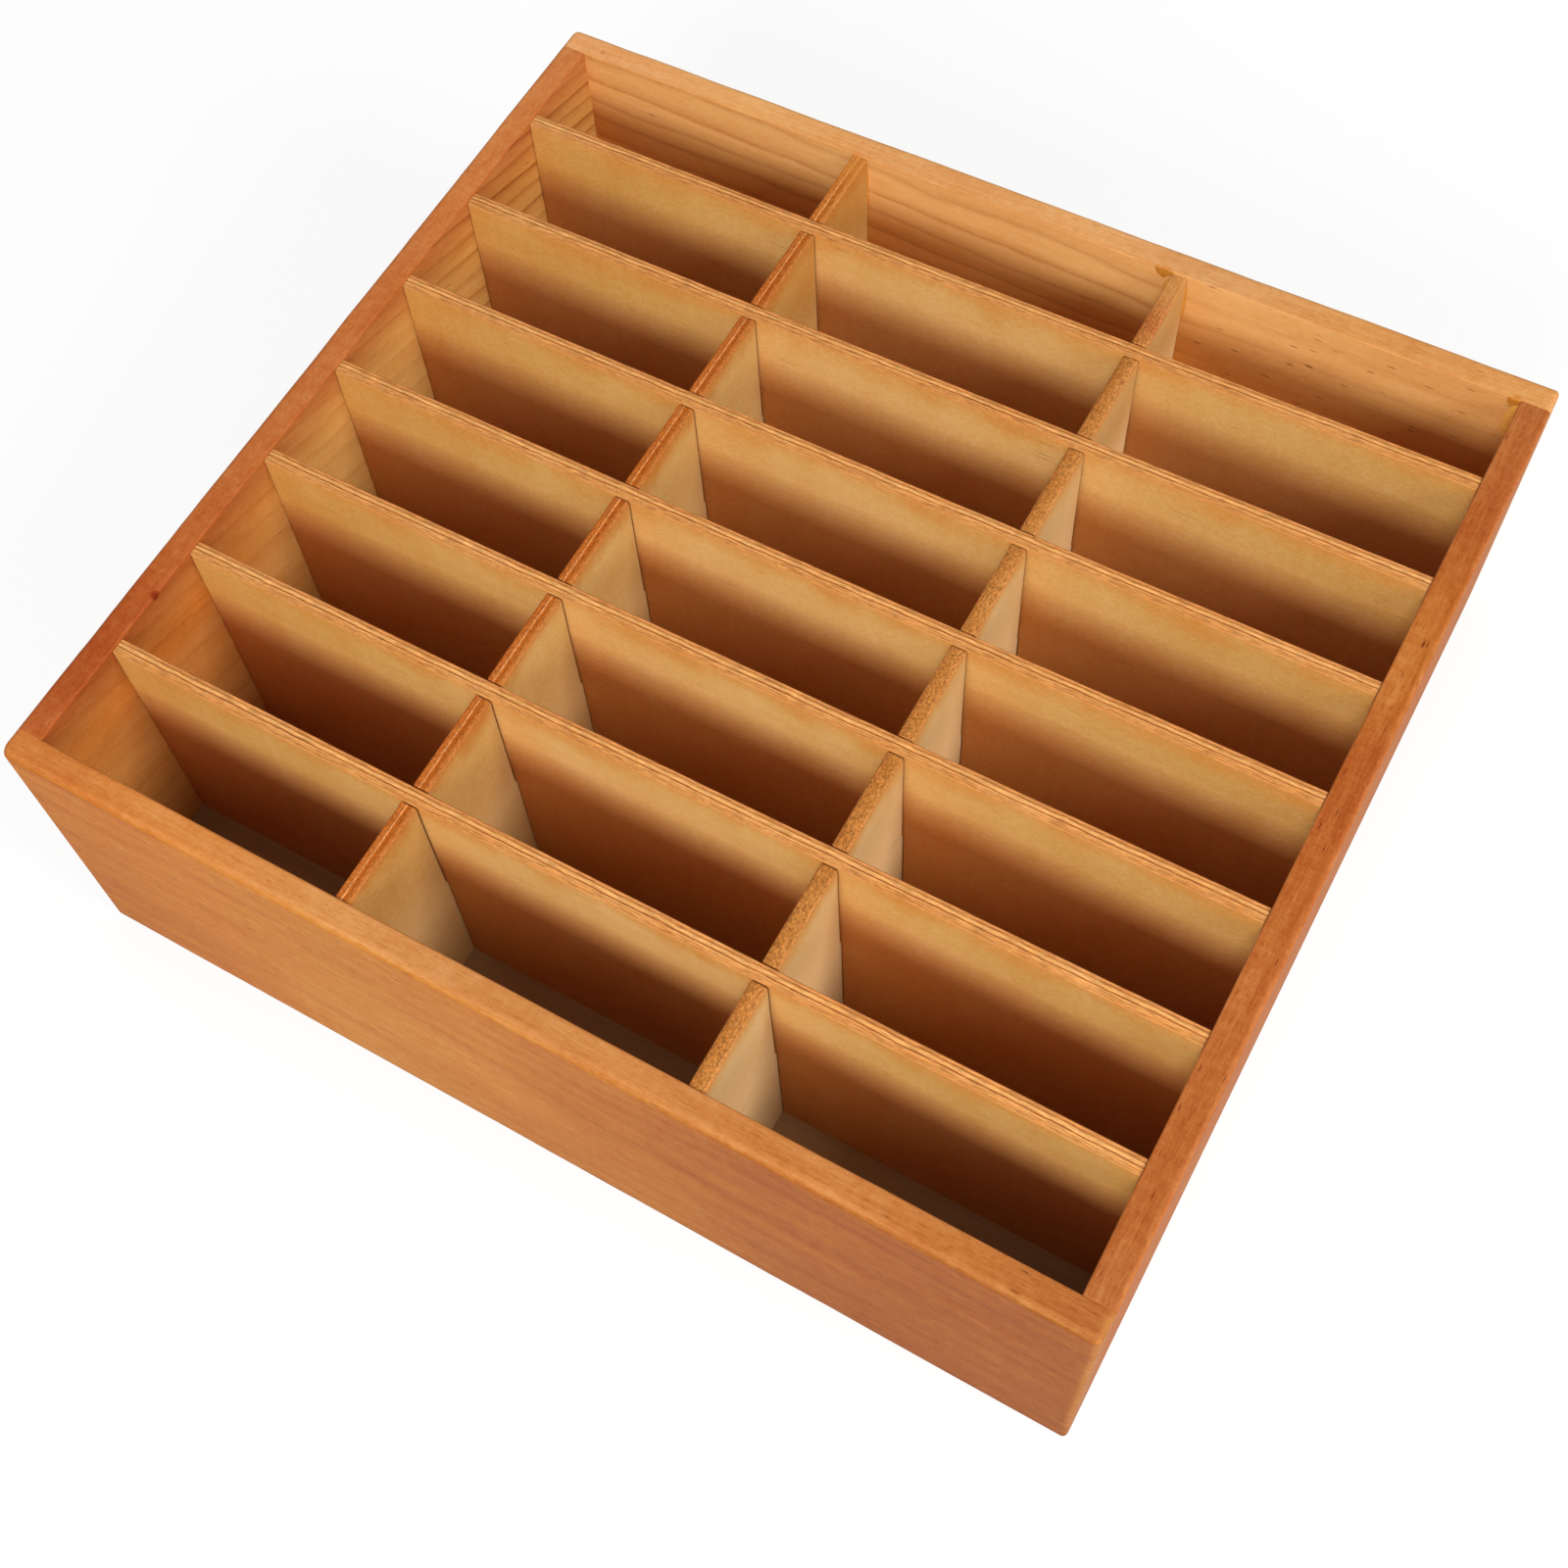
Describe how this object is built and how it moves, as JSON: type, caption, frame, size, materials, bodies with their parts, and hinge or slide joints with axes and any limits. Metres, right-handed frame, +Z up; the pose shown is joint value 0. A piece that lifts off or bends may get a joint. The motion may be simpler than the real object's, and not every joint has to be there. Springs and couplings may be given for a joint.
{
  "type": "compartment storage box",
  "caption": "Open-topped wooden box whose crossing divider strips form a grid of tall, narrow compartments for keeping small things apart.",
  "frame": {"origin": "middle of the footprint, on the surface that the box stands on", "axes": "+X to the right along the width, +Y from the front board to the back board, +Z up"},
  "size_m": [0.34, 0.315, 0.112],
  "materials": {
    "pine_end_boards": "amber stain under a satin lacquer",
    "pine_side_boards": "redder amber stain under a satin lacquer",
    "plywood_panel": "stained plywood, matt",
    "plywood_long_dividers": "honey stained plywood, satin faces and sawn edges",
    "plywood_cross_dividers": "honey stained plywood, satin faces and sawn edges"
  },
  "bodies": {
    "root": {"front_board": "pine_end_boards", "back_board": "pine_end_boards", "left_board": "pine_side_boards", "right_board": "pine_side_boards", "bottom_panel": "plywood_panel", "long_divider_1": "plywood_long_dividers", "long_divider_2": "plywood_long_dividers", "long_divider_3": "plywood_long_dividers", "long_divider_4": "plywood_long_dividers", "long_divider_5": "plywood_long_dividers", "long_divider_6": "plywood_long_dividers", "long_divider_7": "plywood_long_dividers", "cross_divider_1": "plywood_cross_dividers", "cross_divider_2": "plywood_cross_dividers"}
  },
  "joints": []
}
